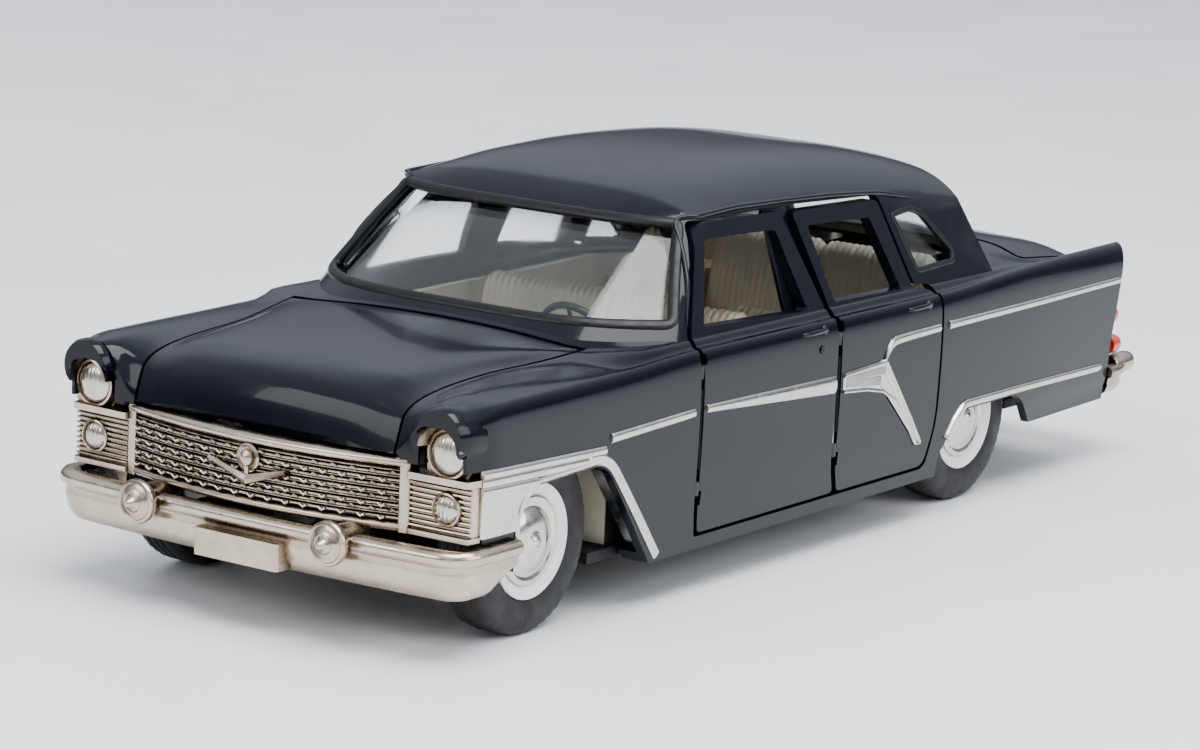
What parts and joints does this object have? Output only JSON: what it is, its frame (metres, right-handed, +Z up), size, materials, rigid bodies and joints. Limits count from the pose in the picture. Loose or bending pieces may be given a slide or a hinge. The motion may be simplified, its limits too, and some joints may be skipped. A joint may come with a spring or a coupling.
{
  "type": "diecast collector car",
  "caption": "Small-scale diecast limousine with opening doors, bonnet and boot, plated grille and bumpers, cream cabin and free-rolling wheels on two axles.",
  "frame": {"origin": "centre of the footprint on the ground plane under the tyres, midway between the bumpers", "axes": "+X the car's own left, -Y the nose, +Z up"},
  "size_m": [0.0484, 0.1302, 0.0378],
  "materials": {
    "body_paint": "high gloss black stoved enamel over zinc casting",
    "chassis_paint": "satin black enamel",
    "cream_plastic": "moulded cream plastic, satin",
    "black_plastic": "moulded black plastic",
    "clear_plastic": "clear moulded styrene",
    "engine_metal": "bare casting",
    "nickel_plate": "warm vacuum plating, slightly tarnished",
    "lamp_lens": "plated ribbed lens",
    "lamp_red": "red paint",
    "bright_trim": "bright plating",
    "tyre_rubber": "moulded rubber",
    "wheel_cream": "white sidewall disc",
    "steel": "drawn wire and rivet heads",
    "spring_plastic": "moulded plastic strip"
  },
  "bodies": {
    "body": {"body_shell": "body_paint", "baseplate": "chassis_paint", "interior_tub": "cream_plastic", "front_bench_seat": "cream_plastic", "rear_bench_seat": "cream_plastic", "jump_seats": "cream_plastic", "dashboard": "black_plastic", "steering_wheel": "black_plastic", "window_glazing": "clear_plastic", "engine_block": "engine_metal", "front_grille": "nickel_plate", "grille_badge": "nickel_plate", "headlamp_lenses": "lamp_lens", "fog_lamp_lenses": "lamp_lens", "front_bumper": "nickel_plate", "rear_bumper": "nickel_plate", "tail_lamp_left": "lamp_red", "tail_lamp_right": "lamp_red", "wing_trim_left": "bright_trim", "wing_trim_right": "bright_trim", "wing_strip_left": "bright_trim", "wing_strip_right": "bright_trim", "quarter_trim_upper_left": "bright_trim", "quarter_trim_upper_right": "bright_trim", "quarter_trim_lower_left": "bright_trim", "quarter_trim_lower_right": "bright_trim", "front_spring_plate": "spring_plastic", "rear_spring_plate": "spring_plastic", "base_rivets": "steel", "door_hinge_pins": "steel", "bonnet_hinge_pin": "steel", "boot_hinge_pin": "steel"},
    "bonnet": {"bonnet": "body_paint"},
    "boot_lid": {"boot_lid": "body_paint"},
    "front_door_left": {"front_door_left": "body_paint", "front_door_trim_left": "bright_trim"},
    "front_door_right": {"front_door_right": "body_paint", "front_door_trim_right": "bright_trim"},
    "rear_door_left": {"rear_door_left": "body_paint", "rear_door_trim_left": "bright_trim"},
    "rear_door_right": {"rear_door_right": "body_paint", "rear_door_trim_right": "bright_trim"},
    "front_wheels": {"front_axle": "steel", "tyre_front_left": "tyre_rubber", "tyre_front_right": "tyre_rubber", "wheel_front_left": "wheel_cream", "wheel_front_right": "wheel_cream", "hubcap_front_left": "bright_trim", "hubcap_front_right": "bright_trim"},
    "rear_wheels": {"rear_axle": "steel", "tyre_rear_left": "tyre_rubber", "tyre_rear_right": "tyre_rubber", "wheel_rear_left": "wheel_cream", "wheel_rear_right": "wheel_cream", "hubcap_rear_left": "bright_trim", "hubcap_rear_right": "bright_trim"}
  },
  "joints": [
    {"name": "bonnet_hinge", "type": "hinge", "parent": "body", "child": "bonnet", "pos_m": [0, -0.0358, 0.0233], "axis": [-1, 0, 0], "range_deg": [0, 50]},
    {"name": "boot_hinge", "type": "hinge", "parent": "body", "child": "boot_lid", "pos_m": [0, 0.0451, 0.0237], "axis": [1, 0, 0], "range_deg": [0, 50]},
    {"name": "front_door_left_hinge", "type": "hinge", "parent": "body", "child": "front_door_left", "pos_m": [0.0224, -0.0238, 0.015], "axis": [0, 0, -1], "range_deg": [0, 55]},
    {"name": "rear_door_left_hinge", "type": "hinge", "parent": "body", "child": "rear_door_left", "pos_m": [0.0224, 0.0001, 0.015], "axis": [0, 0, -1], "range_deg": [0, 55]},
    {"name": "front_door_right_hinge", "type": "hinge", "parent": "body", "child": "front_door_right", "pos_m": [-0.0224, -0.0238, 0.015], "axis": [0, 0, 1], "range_deg": [0, 55]},
    {"name": "rear_door_right_hinge", "type": "hinge", "parent": "body", "child": "rear_door_right", "pos_m": [-0.0224, 0.0001, 0.015], "axis": [0, 0, 1], "range_deg": [0, 55]},
    {"name": "front_axle_spin", "type": "hinge", "parent": "body", "child": "front_wheels", "pos_m": [0, -0.046, 0.0087], "axis": [1, 0, 0], "continuous": true},
    {"name": "rear_axle_spin", "type": "hinge", "parent": "body", "child": "rear_wheels", "pos_m": [0, 0.0296, 0.0087], "axis": [1, 0, 0], "continuous": true}
  ]
}
